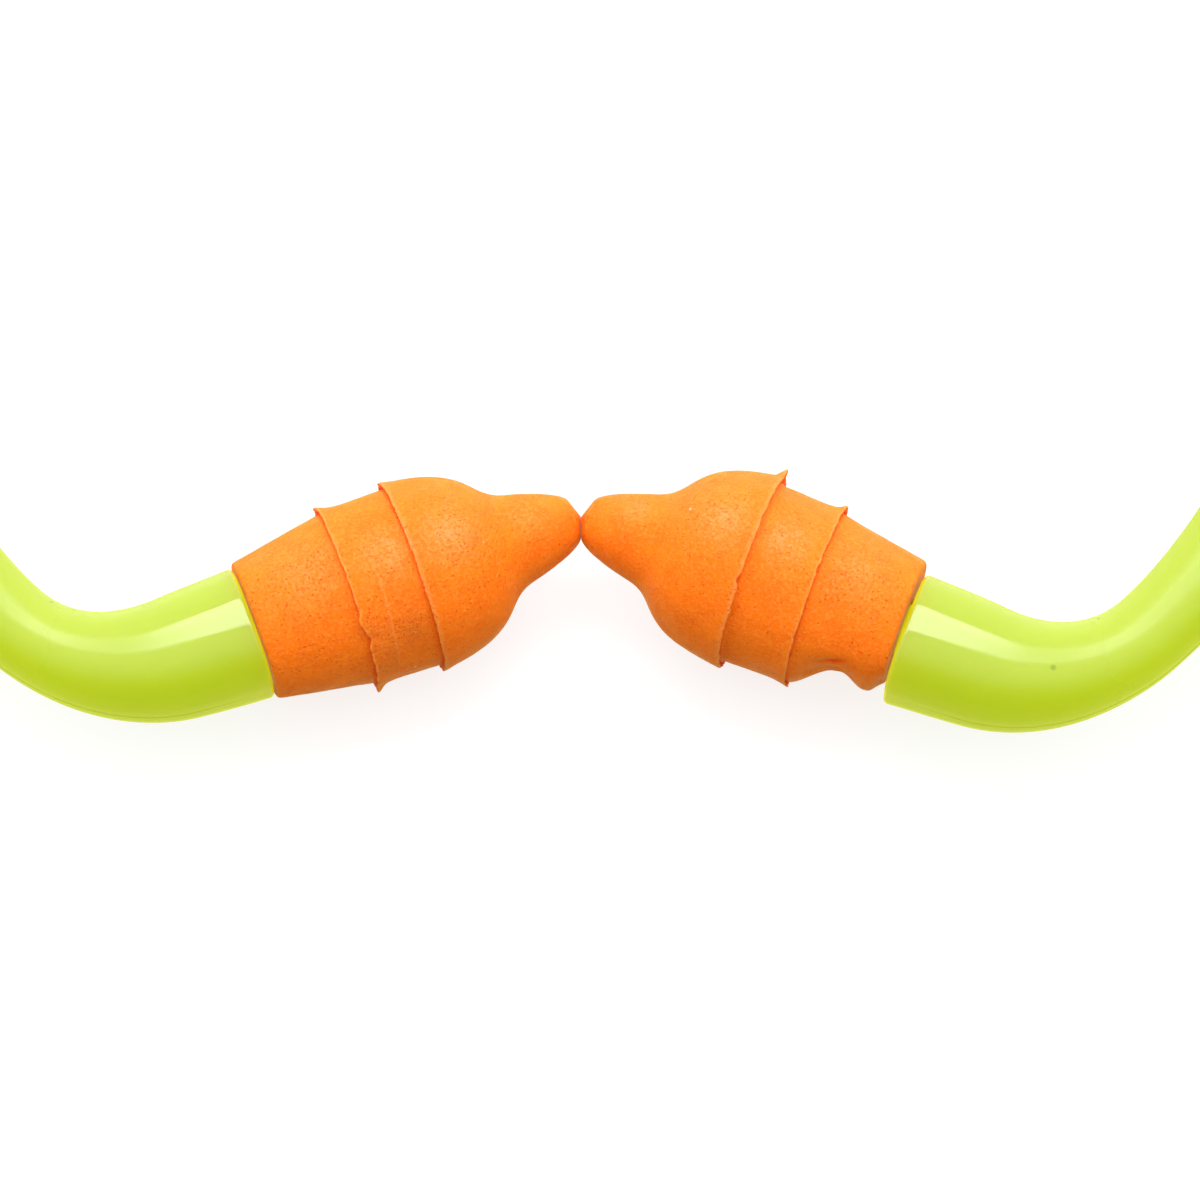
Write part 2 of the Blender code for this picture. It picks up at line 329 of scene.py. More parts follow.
def band_rings(side):
    """Rings from the stem's nose, over its barbs and the end face, and along the band to the crown.

    Each ring's distance along the band and each point's share of the mould seam come with them.
    """
    start, tilt = arm_end(1), pod_tilt()
    lengths = arm_lengths(start, tilt)
    name = "left" if side < 0 else "right"
    reach = END_REACH[name]
    rings, places, seams = [], [], []

    def add(distance, outline_points, seam=0.0):
        x, y, heading = centreline(max(distance, 0.0), start, tilt)
        if distance < 0:
            x += distance * math.cos(heading)
            y += distance * math.sin(heading)
        else:
            y -= ARM_DROP[name] * (1 - float(smoothstep(*DROP_FADE, distance)))
            y -= END_DROP[name] * (1 - float(smoothstep(*END_DROP_FADE, distance)))
        forward = reach * (1 - float(smoothstep(0.0, STRAIGHT, distance))) * (distance >= 0)
        x -= forward * math.cos(-tilt)
        y -= forward * math.sin(-tilt)
        normal_x, normal_y = -math.sin(heading), math.cos(heading)
        ring = []
        for a, b in outline_points:
            ridge = seam * math.exp(-((b / SEAM_WIDTH) ** 2))
            seams.append(ridge / SEAM_HEIGHT)
            a += ridge if a > 0 else -ridge
            ring.append(Vector((side * (x + a * normal_x), y + a * normal_y, start.z + b)) * MM)
        rings.append(ring)
        places.append(distance)

    def round_outline(radius):
        return outline(2 * radius, 2 * radius, radius * NEARLY_ROUND)

    top = STEM_COLLAR + BARB_COUNT * BARB_PITCH + STEM_NOSE
    for step in range(1, STEM_NOSE_STEPS + 1):
        angle = math.pi / 2 * step / STEM_NOSE_STEPS
        add(-(top - STEM_NOSE * (1 - math.cos(angle))), round_outline(STEM_RADIUS * math.sin(angle)))
    for barb in reversed(range(BARB_COUNT)):
        base = STEM_COLLAR + barb * BARB_PITCH
        add(-(base + BARB_LENGTH), round_outline(STEM_RADIUS))
        add(-(base + BARB_LAND), round_outline(BARB_RADIUS))
        add(-base, round_outline(BARB_RADIUS - BARB_CHAMFER))
        add(-(base - BARB_CHAMFER), round_outline(STEM_RADIUS))
    for distance, wider in STEM_FOOT:
        add(distance, round_outline(STEM_RADIUS + wider))

    thickness, height, corner = section_at(0.0)
    for inset in END_FACE_INSETS:
        add(0.0, outline(thickness - 2 * inset, height - 2 * inset, corner - inset))
    for step in range(END_EDGE_STEPS + 1):
        angle = math.pi / 2 * step / END_EDGE_STEPS
        along = END_EDGE * (1 - math.cos(angle))
        inset = END_EDGE * (1 - math.sin(angle))
        thickness, height, corner = section_at(along)
        add(along, outline(thickness - 2 * inset, height - 2 * inset, corner - inset))
    bend_end = lengths[1]
    distances = list(np.arange(END_EDGE + BEND_SPACING, bend_end, BEND_SPACING))
    count = round((lengths[-1] - bend_end) / ARM_SPACING)
    distances += list(np.linspace(bend_end, lengths[-1], count + 1))
    for distance in distances:
        seam = SEAM_HEIGHT * float(smoothstep(*SEAM_FADE, distance))
        add(distance, outline(*section_at(distance)), seam)
    for point in rings[-1]:
        point.x = 0.0
    return rings, places, seams


def make_band_half(name, side, material):
    rings, places, seams = band_rings(side)
    columns = len(SHARES)
    vertices = [point for ring in rings for point in ring]
    faces = grid_faces(len(rings), columns)
    faces.append(tuple(range(columns)))
    faces.append(tuple(reversed(range(len(vertices) - columns, len(vertices)))))
    half = mesh_object("band_half_" + name, vertices, faces)
    half.data.set_sharp_from_angle(angle=SHARP_ANGLE)
    half.data.materials.append(material)
    crown_middle = rings[-1][0].copy()
    crown_middle.y = sum(point.y for point in rings[-1]) / columns
    rest = half.data.attributes.new("rest", "FLOAT_VECTOR", "POINT")
    rest.data.foreach_set("vector", np.array(vertices, np.float32).ravel())
    set_attribute(half, "along", np.repeat(places, columns))
    set_attribute(half, "seam", seams)
    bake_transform(half)
    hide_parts("band_arm_" + name, "band_crown")
    # The band doesn't mirror itself.
    half.visible_glossy = False
    return half


# ---------------------------------------------------------------- pods


def cubic(start, handle, second_handle, end, count):
    t = np.linspace(0, 1, count + 1)[1:, None]
    a, b, c, d = (np.array(point, float) for point in (start, handle, second_handle, end))
    return (1 - t) ** 3 * a + 3 * (1 - t) ** 2 * t * b + 3 * (1 - t) * t**2 * c + t**3 * d


def line(start, end, count):
    t = np.linspace(0, 1, count + 1)[1:, None]
    return np.array(start) * (1 - t) + np.array(end) * t


def skirt(at, radius, under):
    """A lip's thin rim, from its outer face round its edge to the surface it overhangs."""
    rim = [(at + along, radius + out) for along, out in LIP_RIM]
    foot = [(at + along, under + out) for along, out in LIP_FOOT]
    return np.array(rim + foot)


def pod_profile(reach, tail_reach):
    """(height, radius) from the tip down the outside and up the bore, and the two lips' rim rows.

    The nose ends in a blunt cone whose side lies along the plane where the two pods meet.
    """
    slope = math.tan(pod_tilt())
    neck = (NECK_AT, NECK_RADIUS)
    blunt = (reach - NOSE_FLAT * slope, NOSE_FLAT)
    blunt_handle = (blunt[0] - BLUNT_HANDLE * slope, blunt[1] + BLUNT_HANDLE)
    nose_handle = (NECK_AT + NOSE_HANDLE, NECK_RADIUS - NOSE_HANDLE * NECK_SLOPE)
    first = (reach - TIP_RING * slope, TIP_RING)
    pieces = [np.array([first]), line(first, blunt, ROWS["tip"])]
    pieces.append(cubic(blunt, blunt_handle, nose_handle, neck, ROWS["nose"]))
    neck_from_dome = (NECK_AT - NECK_HANDLE, NECK_RADIUS + NECK_HANDLE * NECK_SLOPE)
    lip_top = (FRONT_LIP_AT + LIP_FACE, FRONT_LIP_RADIUS)
    pieces.append(cubic(neck, neck_from_dome, DOME_HANDLE, lip_top, ROWS["dome"]))
    front_rows = sum(len(piece) for piece in pieces)
    pieces.append(skirt(FRONT_LIP_AT, FRONT_LIP_RADIUS, MIDDLE_RADIUS)[1:])
    middle_start = tuple(pieces[-1][-1])
    rear_top = (REAR_LIP_AT + LIP_FACE, REAR_LIP_RADIUS)
    handles = [
        (lip_at + along, MIDDLE_RADIUS + out)
        for lip_at, (along, out) in zip((FRONT_LIP_AT, REAR_LIP_AT), MIDDLE_HANDLES)
    ]
    pieces.append(cubic(middle_start, *handles, rear_top, ROWS["middle"]))
    rear_rows = sum(len(piece) for piece in pieces)
    pieces.append(skirt(REAR_LIP_AT, REAR_LIP_RADIUS, TAIL_END_RADIUS)[1:])
    tail_start = tuple(pieces[-1][-1])
    tail = -tail_reach
    corner = [(tail + along, TAIL_RADIUS + out) for along, out in TAIL_CORNER]
    face = (tail, TAIL_FACE_RADIUS)
    pieces.append(line(tail_start, corner[0], ROWS["tail"]))
    pieces.append(cubic(*corner, face, ROWS["corner"]))
    mouth = (tail, BORE_RADIUS + BORE_CHAMFER[1])
    bore_start = (tail + BORE_CHAMFER[0], BORE_RADIUS)
    bore_end = (BORE_DEPTH - BORE_CONE, BORE_RADIUS)
    pieces.append(line(face, mouth, ROWS["face"]))
    pieces.append(line(mouth, bore_start, ROWS["mouth"]))
    pieces.append(line(bore_start, bore_end, ROWS["bore"]))
    pieces.append(line(bore_end, (BORE_DEPTH, BORE_END_RADIUS), ROWS["cone"]))
    return np.vstack(pieces), front_rows - 1, rear_rows - 1


def hump(value, centre, width):
    """1 at the centre, falling smoothly to about a third one width away."""
    return np.exp(-(((value - centre) / width) ** 2))


def hump_around(angles, degrees, width):
    """A smooth hump round the pod, centred at an angle, with a width in degrees."""
    away = (np.degrees(angles) - degrees + 180) % 360 - 180
    return hump(away, 0.0, width)


def ring_noise(angles, detail, seed):
    """Repeatable noise round a circle, about -1 to 1."""
    return np.array(
        [
            noise.noise(Vector((math.cos(a) * detail, math.sin(a) * detail, seed)))
            for a in angles
        ]
    ) * 2.0


# Painted sheen patches on the foam, where the light's reflection falls: pod, height, degrees round, radius,
# strength.
PAINTED_SHEEN_PATCHES = (
    ("right", 13.4, 6.5, 1.6, 0.95),
    ("right", 9.0, 8.5, 1.5, 0.95),
    ("right", 3.9, 10.0, 2.0, 0.5),
    ("right", 19.6, 15.0, 1.0, 0.6),
    ("left", 13.7, -1.0, 1.7, 1.0),
    ("left", 9.4, 0.0, 1.6, 0.9),
    ("left", 4.2, 8.0, 2.2, 0.5),
    ("left", 19.5, 5.0, 1.2, 0.4),
)

# Marks on the lips: pod, lip, degrees round (0 faces up, 90 towards the crown), how far out, how far
# back towards the tail, width in degrees, and how far along the foam the mark reaches.
LIP_MARKS = (
    ("right", "front", 71.0, 0.56, 0.04, 5.0, 0.34),
    ("right", "front", -26.0, -0.06, -0.20, 2.4, 0.4),
    ("right", "front", -104.0, 0.0, 0.16, 24.0, 0.6),
    ("right", "rear", 70.0, 0.18, 0.02, 4.5, 0.4),
    ("right", "rear", -108.0, 0.02, 0.20, 7.0, 0.45),
    ("right", "rear", -104.0, -0.11, 0.0, 28.0, 2.2),
    ("left", "front", 72.0, 0.10, 0.12, 6.0, 0.6),
    ("left", "front", -110.0, 0.05, 0.04, 6.0, 0.6),
    ("left", "rear", 71.0, 0.16, 0.14, 6.0, 0.5),
    ("left", "rear", -36.0, 0.08, 0.20, 4.0, 0.6),
    ("left", "rear", -49.0, -0.10, -0.26, 3.0, 0.5),
    ("left", "rear", -110.0, 0.28, 0.06, 4.5, 0.4),
)

# Ragged lips: sizes and details of the noise round a rim. Along the axis it wanders, steps and has teeth,
# and outwards it waves and frills, except near the table. All of it reaches LIP_REACH ahead of the rim.
LIP_SEEDS = {"front": 3.1, "rear": 8.7}
POD_SEED_STEP = 7.3
LIP_WANDER = (0.030, 2.0)
LIP_STEPS = (0.020, 7.0)
LIP_TEETH = (0.030, 40.0)
LIP_WAVES = (0.03, 4.0)
LIP_FRILLS = (0.012, 26.0)
LIP_REACH = 0.6
LIP_FADE_BEHIND = (0.1, 0.5)
OFF_TABLE_WIDTH = 45.0

# A rim's paler edge and the painted shade in the fold behind it, as distances along the surface from the
# rim.
RIM_AHEAD = 0.03
RIM_BEHIND = (0.06, 0.16)
PAINTED_SHADE_START = (0.25, 0.35)
PAINTED_SHADE_END = (0.55, 0.95)
PAINTED_SHADE_SHARE = 0.75

# The foam's slow swells and small dimples, as sizes and details of noise. They stay off the tip.
SWELLS = ((0.05, 0.28), (0.016, 1.1), (0.009, 3.6))
SWELL_SEED_STEP = 40.0
SWELL_START = (1.4, 2.6)


def ring_waves(angles, size_and_detail, seed):
    size, detail = size_and_detail
    return size * ring_noise(angles, detail, seed)


def lip_weight(distance, reach):
    """How much of a lip's raggedness a row takes: full at the rim, fading ahead of it and just behind."""
    ahead = hump(np.minimum(distance, 0), 0.0, reach)
    behind = 1 - smoothstep(*LIP_FADE_BEHIND, np.maximum(distance, 0))
    return np.where(distance <= 0, ahead, behind)[:, None]


def roughen_lips(name, seed, angles, run, lip_rows, heights, radii, off_table):
    """Make the lips ragged, and return each row's share of a rim's edge and of the painted shade in the
    fold behind it.
    """
    edge_share = np.zeros(len(run))
    fold_and_painted_shade = np.zeros(len(run))
    for lip, row in lip_rows.items():
        offset = seed * POD_SEED_STEP + LIP_SEEDS[lip]
        step_size, step_detail = LIP_STEPS
        ragged = ring_waves(angles, LIP_WANDER, offset)
        ragged += step_size * np.tanh(3 * ring_noise(angles, step_detail, offset + 1))
        ragged += ring_waves(angles, LIP_TEETH, offset + 2)
        lift = ring_waves(angles, LIP_WAVES, offset + 3)
        lift += ring_waves(angles, LIP_FRILLS, offset + 4)
        distance = run - run[row]
        heights -= lip_weight(distance, LIP_REACH) * ragged[None, :]
        radii += lip_weight(distance, LIP_REACH) * lift[None, :] * off_table
        for pod, mark_lip, centre, out, back, width, mark_reach in LIP_MARKS:
            if pod == name and mark_lip == lip:
                mark = hump_around(angles, centre, width)[None, :]
                heights -= lip_weight(distance, mark_reach) * back * mark
                radii += lip_weight(distance, mark_reach) * out * mark
        rim = hump(np.minimum(distance, 0), 0.0, RIM_AHEAD) * (1 - smoothstep(*RIM_BEHIND, distance))
        edge_share = np.maximum(edge_share, rim)
        behind = smoothstep(*PAINTED_SHADE_START, distance) * (1 - smoothstep(*PAINTED_SHADE_END, distance))
        fold_and_painted_shade = np.maximum(fold_and_painted_shade, PAINTED_SHADE_SHARE * behind)
    return edge_share, fold_and_painted_shade


def foam_swell(seed, angles, heights, radii):
    """The foam's own unevenness at each point."""
    swell = np.zeros_like(radii)
    for row, column in np.ndindex(*radii.shape):
        x = radii[row, column] * math.cos(angles[column])
        y = radii[row, column] * math.sin(angles[column])
        spot = Vector((x, y, heights[row, column] + seed * SWELL_SEED_STEP))
        swell[row, column] = sum(size * noise.noise(spot * detail) for size, detail in SWELLS)
    return swell


def make_pod(name, side, material, seed):
    place = pod_place(side)
    reach = abs(place.translation.x) / math.cos(pod_tilt()) / MM - TIP_CLEARANCE
    profile, front_row, rear_row = pod_profile(reach, TAIL_REACH[name])
    angles = np.linspace(0, 2 * math.pi, POD_AROUND, endpoint=False)
    degrees = (np.degrees(angles) + 180) % 360 - 180
    heights = np.repeat(profile[:, :1], POD_AROUND, axis=1)
    radii = np.repeat(profile[:, 1:], POD_AROUND, axis=1)
    rows = len(profile)
    run = np.concatenate([[0.0], np.cumsum(np.linalg.norm(np.diff(profile, axis=0), axis=1))])
    outside = (np.arange(rows) < rows - INSIDE_ROWS)[:, None]
    off_table = (1 - hump(np.abs(degrees), 180.0, OFF_TABLE_WIDTH))[None, :]
    lip_rows = {"front": front_row, "rear": rear_row}
    edge_share, fold_and_painted_shade = roughen_lips(name, seed, angles, run, lip_rows, heights, radii, off_table)
    radii += foam_swell(seed, angles, heights, radii) * smoothstep(*SWELL_START, radii) * outside

    crown_shift = np.zeros_like(radii)
    # Painted shade: the folds behind the lips and the right tail's crease are darkened.
    painted_shade = np.repeat(fold_and_painted_shade[:, None], POD_AROUND, axis=1)
    rim_share = np.repeat(edge_share[:, None], POD_AROUND, axis=1)
    worn = np.zeros_like(radii)
    if name == "right":
        swell_right_dome(heights, radii, off_table)
        crown_shift = outside * bow_right_pod(heights, reach)
        painted_shade = np.maximum(painted_shade, pinch_right_tail(heights, radii, degrees))
    else:
        crown_shift = outside * shift_left_pod(heights)
        worn, seam_line = raise_left_seam(heights, radii, degrees)
        rim_share = np.maximum(rim_share, seam_line)

    upward = radii * np.cos(angles)[None, :]
    upward = np.maximum(upward, -place.translation.z / MM + TABLE_CLEARANCE)
    across = (radii * np.sin(angles)[None, :] + crown_shift) * -side
    points = np.stack([across, upward, heights], axis=-1).reshape(-1, 3)
    vertices = [Vector(point) * MM for point in points]
    faces = grid_faces(rows, POD_AROUND)
    faces.append(tuple(range(POD_AROUND)))
    faces.append(tuple(range((rows - 1) * POD_AROUND, rows * POD_AROUND)))
    pod = mesh_object("foam_pod_" + name, vertices, faces)
    pod.matrix_world = place
    set_attribute(pod, "rim", rim_share.ravel())
    # The painted sheen's share at each point.
    set_attribute(pod, "painted_sheen", painted_sheen_share(name, heights, radii, degrees).ravel())
    set_attribute(pod, "painted_shade", painted_shade.ravel())
    set_attribute(pod, "worn", worn.ravel())
    pod.data.materials.append(material)
    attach(pod, name + "_pod")
    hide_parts("pod_" + name)
    return pod


def painted_sheen_share(name, heights, radii, degrees):
    """How much painted sheen each point takes, as soft round patches where the light's reflection falls."""
    share = np.zeros_like(radii)
    outside = radii > BORE_RADIUS + BORE_CHAMFER[1]
    for pod, height, centre, radius, strength in PAINTED_SHEEN_PATCHES:
        if pod == name:
            around = np.radians(degrees - centre)[None, :] * radii
            away = np.hypot(heights - height, around) / radius
            share = np.maximum(share, strength * hump(away, 0.0, 1.0) * outside)
    return share


# The right pod's own shape: a fuller front lip and dome, a bow towards the crown that spares the tip, and a
# tail that sits a little away from the crown. Each pair is where a change starts and where it ends.
DOME_FULLER = 0.026
DOME_FULLER_START = (10.8, 11.0)
DOME_FULLER_END = (14.0, 19.5)
BOW = 0.27
BOW_AT = 13.0
BOW_WIDTH = 5.5
BOW_TIP_WIDTH = 2.0
TAIL_AWAY = 0.06
TAIL_AWAY_END = (5.0, 10.0)

# The nip in the right pod's tail, in degrees round the pod and heights, and the crease at its top, which
# slants by CREASE_SLANT degrees a millimetre and whose two pairs are each a middle and a width.
NIP_SIDES = ((-52.0, -92.0), (-178.0, -150.0))
NIP_DEPTH = 1.35
NIP_TOP = (6.4, 3.6)
NIP_BASE_SHARE = 0.24
NIP_BASE = (1.1, 3.2)
NIP_END_DEPTH = 0.62
NIP_END = (1.0, 0.1)
NIP_SKIN = (2.6, 4.2)
CREASE_DEPTH = 0.22
CREASE_AROUND = (-63.0, 3.0)
CREASE_SLANT = 4.0
CREASE_SLANT_AT = 3.6
CREASE_HEIGHT = (3.5, 0.75)

# The left pod's own shape: a shift away from the crown, and a mould line across its middle band, with worn
# foam behind the line and in a round patch ahead of it. The pairs of the lip's shift and of the patch are
# each a middle and a width.
LEFT_SHIFT = 0.03
LEFT_LIP_SHIFT = 0.05
LEFT_LIP_SHIFT_AT = (12.0, 3.0)
LEFT_SHIFT_END = (15.0, 20.0)
LINE_SIDES = ((-6.0, -20.0), (-82.0, -68.0))
LINE_AT = 8.37
LINE_MIDDLE = -19.0
LINE_SLOPE = 0.0062
LINE_WIDTH = 0.08
LINE_HEIGHT = 0.07
LINE_PALENESS = 0.7
WORN_SKIN = 5.5
WORN_SIDES = ((-22.0, -44.0), (-95.0, -75.0))
WORN_START = 0.3
WORN_EDGE = 0.1
WORN_BEHIND_SHARE = 0.5
WORN_PATCH_HEIGHT = (9.5, 0.95)
WORN_PATCH_AROUND = (-50.0, 14.0)


def between(sides, degrees):
    """1 round the pod between two places, rising at one and falling at the other."""
    rise, fall = sides
    return smoothstep(*rise, degrees) * smoothstep(*fall, degrees)


def swell_right_dome(heights, radii, off_table):
    """The right pod's front lip and dome are a little fuller than the left's."""
    fuller = smoothstep(*DOME_FULLER_START, heights) * (1 - smoothstep(*DOME_FULLER_END, heights))
    radii *= 1 + DOME_FULLER * fuller * off_table


def shift_left_pod(heights):
    """The left pod sits a hair away from the crown, most of all at its front lip."""
    away = LEFT_SHIFT + LEFT_LIP_SHIFT * hump(heights, *LEFT_LIP_SHIFT_AT)
    return -away * (1 - smoothstep(*LEFT_SHIFT_END, heights))


def bow_right_pod(heights, reach):
    """The right pod's dome sits a little towards the crown, and its tail a little away from it."""
    bow = BOW * hump(heights, BOW_AT, BOW_WIDTH) * (1 - hump(heights, reach, BOW_TIP_WIDTH))
    return bow - TAIL_AWAY * (1 - smoothstep(*TAIL_AWAY_END, heights))


def pinch_right_tail(heights, radii, degrees):
    """The right pod's tail is nipped in on the side away from the crown, with a crease at the nip's top,
    whose share is returned as painted shade.
    """
    base = NIP_BASE_SHARE + (1 - NIP_BASE_SHARE) * smoothstep(*NIP_BASE, heights)
    depth = NIP_DEPTH * smoothstep(*NIP_TOP, heights) * base
    depth += NIP_END_DEPTH * smoothstep(*NIP_END, heights)
    skin = smoothstep(*NIP_SKIN, radii)
    radii -= depth * between(NIP_SIDES, degrees)[None, :] * skin
    slanted = degrees[None, :] + CREASE_SLANT * (heights - CREASE_SLANT_AT)
    fold_and_painted_shade = hump(slanted, *CREASE_AROUND) * hump(heights, *CREASE_HEIGHT) * skin
    radii -= CREASE_DEPTH * fold_and_painted_shade
    return fold_and_painted_shade


def raise_left_seam(heights, radii, degrees):
    """A faint mould line crosses the left pod's middle band, with worn, porous foam on both sides of it."""
    line_at = LINE_AT + (degrees - LINE_MIDDLE) * LINE_SLOPE
    away = heights - line_at[None, :]
    on_skin = radii > WORN_SKIN
    seam_line = hump(away, 0.0, LINE_WIDTH) * on_skin * between(LINE_SIDES, degrees)[None, :]
    radii += LINE_HEIGHT * seam_line
    behind = smoothstep(WORN_EDGE, -WORN_EDGE, away)
    behind = behind * smoothstep(REAR_LIP_AT, REAR_LIP_AT + WORN_START, heights)
    behind = behind * between(WORN_SIDES, degrees)[None, :]
    ahead = hump(heights, *WORN_PATCH_HEIGHT) * hump(degrees[None, :], *WORN_PATCH_AROUND)
    return np.maximum(WORN_BEHIND_SHARE * behind, ahead) * on_skin, LINE_PALENESS * seam_line


# ---------------------------------------------------------------- materials

# Foam: its colours, the scales of its textures for each metre, and how deep light goes into it in metres.
FOAM_DARKER = (0.86, 0.160, 0.003)
FOAM_LIGHTER = (0.96, 0.200, 0.004)
FOAM_GRAIN_COLOUR = (1.0, 0.28, 0.038)
# A painted sheen: paler where the light's reflection falls.
FOAM_PAINTED_SHEEN = (1.0, 0.29, 0.085)
FOAM_PORE = (0.66, 0.070, 0.001)
FOAM_SPECK = (1.0, 0.62, 0.40)
FOAM_RIM = (1.0, 0.36, 0.13)
# A painted shade: darker in the folds behind the lips and in the crease.
FOAM_PAINTED_SHADE = (0.85, 0.05, 0.002)
CLOUD_SCALE = 650.0
GRAIN_SCALE = 4300.0
PORE_SCALE = 4000.0
PATCH_SCALE = 330.0
SPECK_SCALE = 800.0
FOAM_LIGHT_DEPTH = 0.0018
FOAM_BUMP = 0.00014

# Plastic: its colours, the painted glow it sends out where it is clean and where it is dark, and its scales
# and depths.
PLASTIC_DARKER = (0.145, 0.190, 0.017)
PLASTIC_LIGHTER = (0.156, 0.203, 0.019)
# Painted orange light bounced from the foam onto the band's end edge.
PLASTIC_PAINTED_BOUNCE = (0.50, 0.26, 0.004)
# The flaws' darker colour, which also paints shade along the parting line.
PLASTIC_FLAW_AND_SEAM_SHADE = (0.03, 0.07, 0.002)
# A painted glow that keeps the plastic's shaded side bright, dimmer at the flaws and the parting line.
PAINTED_GLOW = (0.78, 1.0, 0.0)
PAINTED_GLOW_DARKER = (0.20, 0.32, 0.0)
PAINTED_GLOW_STRENGTH = 0.365
PLASTIC_CLOUD_SCALE = 90.0
SWIRL_SCALE = 260.0
RIPPLE_SCALE = 220.0
PLASTIC_LIGHT_DEPTH = 0.02
PLASTIC_BUMP = 0.00010

# Floor: a mid grey that sends out white light.
FLOOR_COLOUR = (0.22, 0.22, 0.22)
FLOOR_GLOW = 0.78
FLOOR_SIZE = 3.0
WHITE = (1.0, 1.0, 1.0)


def new_material(name):
    material = bpy.data.materials.new(name)
    material.use_nodes = True
    tree = material.node_tree
    return material, tree, tree.nodes["Principled BSDF"]


def node(tree, kind, **settings):
    made = tree.nodes.new(kind)
    for key, value in settings.items():
        if key in made.inputs:
            made.inputs[key].default_value = value
        else:
            setattr(made, key, value)
    return made


def ramp(tree, source, stops):
    made = tree.nodes.new("ShaderNodeValToRGB")
    elements = made.color_ramp.elements
    while len(elements) < len(stops):
        elements.new(0.5)
    for element, (position, colour) in zip(elements, stops):
        element.position = position
        element.color = (*colour, 1.0)
    tree.links.new(source, made.inputs["Fac"])
    return made.outputs["Color"]


def mix_colour(tree, share, first, second):
    made = tree.nodes.new("ShaderNodeMix")
    made.data_type = "RGBA"
    for socket, value in (("Factor", share), ("A", first), ("B", second)):
        target = [s for s in made.inputs if s.name == socket and s.enabled][0]
        if isinstance(value, bpy.types.NodeSocket):
            tree.links.new(value, target)
        elif isinstance(value, tuple):
            target.default_value = (*value, 1.0)
        else:
            target.default_value = value
    return [s for s in made.outputs if s.name == "Result" and s.enabled][0]


def math_node(tree, operation, first, second=None, clamp=False):
    made = tree.nodes.new("ShaderNodeMath")
    made.operation = operation
    made.use_clamp = clamp
    for index, value in enumerate((first, second)):
        if isinstance(value, bpy.types.NodeSocket):
            tree.links.new(value, made.inputs[index])
        elif value is not None:
            made.inputs[index].default_value = value
    return made.outputs["Value"]


def scaled(tree, value, factor):
    return math_node(tree, "MULTIPLY", value, factor)


def map_range(tree, value, low, high, to_low, to_high):
    made = tree.nodes.new("ShaderNodeMapRange")
    for socket, number in (("From Min", low), ("From Max", high), ("To Min", to_low), ("To Max", to_high)):
        made.inputs[socket].default_value = number
    tree.links.new(value, made.inputs["Value"])
    return made.outputs["Result"]


def noise_texture(tree, coordinates, scale, detail=3.0, roughness=0.5):
    made = node(tree, "ShaderNodeTexNoise", Scale=scale, Detail=detail, Roughness=roughness)
    tree.links.new(coordinates, made.inputs["Vector"])
    return made.outputs["Fac"]


def attribute_share(tree, name):
    return node(tree, "ShaderNodeAttribute", attribute_name=name).outputs["Fac"]


def cells(tree, coordinates, scale):
    """Distance to the nearest cell centre, in cells, and a random share for each cell."""
    made = node(tree, "ShaderNodeTexVoronoi", Scale=scale)
    tree.links.new(coordinates, made.inputs["Vector"])
    split = tree.nodes.new("ShaderNodeSeparateColor")
    tree.links.new(made.outputs["Color"], split.inputs["Color"])
    return made.outputs["Distance"], split.outputs["Red"]


def add_bump(tree, shader, height, strength, distance):
    bump = node(tree, "ShaderNodeBump", Strength=strength, Distance=distance)
    tree.links.new(height, bump.inputs["Height"])
    tree.links.new(bump.outputs["Normal"], shader.inputs["Normal"])


